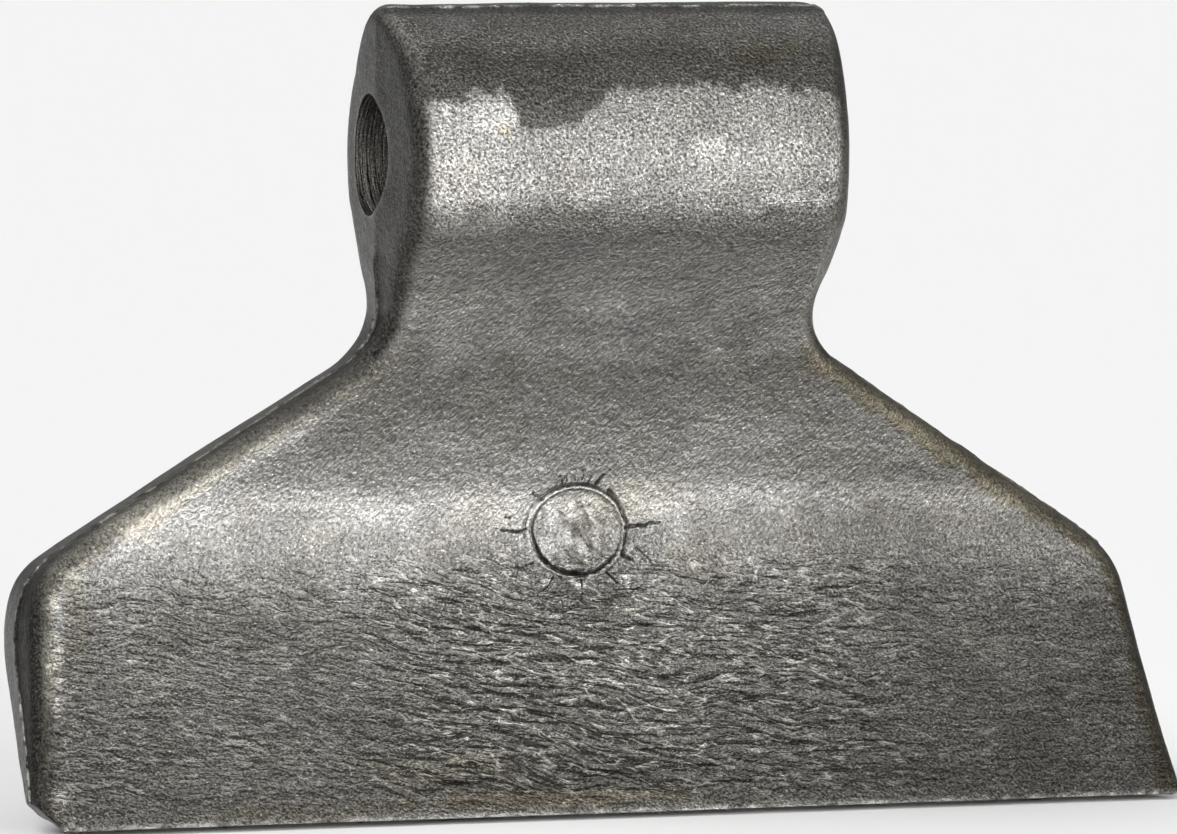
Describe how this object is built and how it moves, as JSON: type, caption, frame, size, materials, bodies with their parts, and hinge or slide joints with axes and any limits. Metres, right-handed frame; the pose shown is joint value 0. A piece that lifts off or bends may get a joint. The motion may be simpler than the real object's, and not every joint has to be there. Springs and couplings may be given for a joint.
{
  "type": "hammer flail",
  "caption": "Forged hammer flail: a bored cross barrel, a concave neck and a wide adze-shaped blade, which swings on a rotor bolt to shred brush.",
  "frame": {"origin": "middle of the pivot bore's axis", "axes": "+X along the pivot bore, +Z from the blade up to the barrel, -Y out of the concave front face, so the blade hangs below the bore"},
  "size_m": [0.1628, 0.0404, 0.1092],
  "materials": {
    "hammer_flail": "as-forged skin, shot-blasted and handled, dull grey with bright worn high spots"
  },
  "bodies": {
    "root": {"hammer_flail": "hammer_flail"}
  },
  "joints": []
}
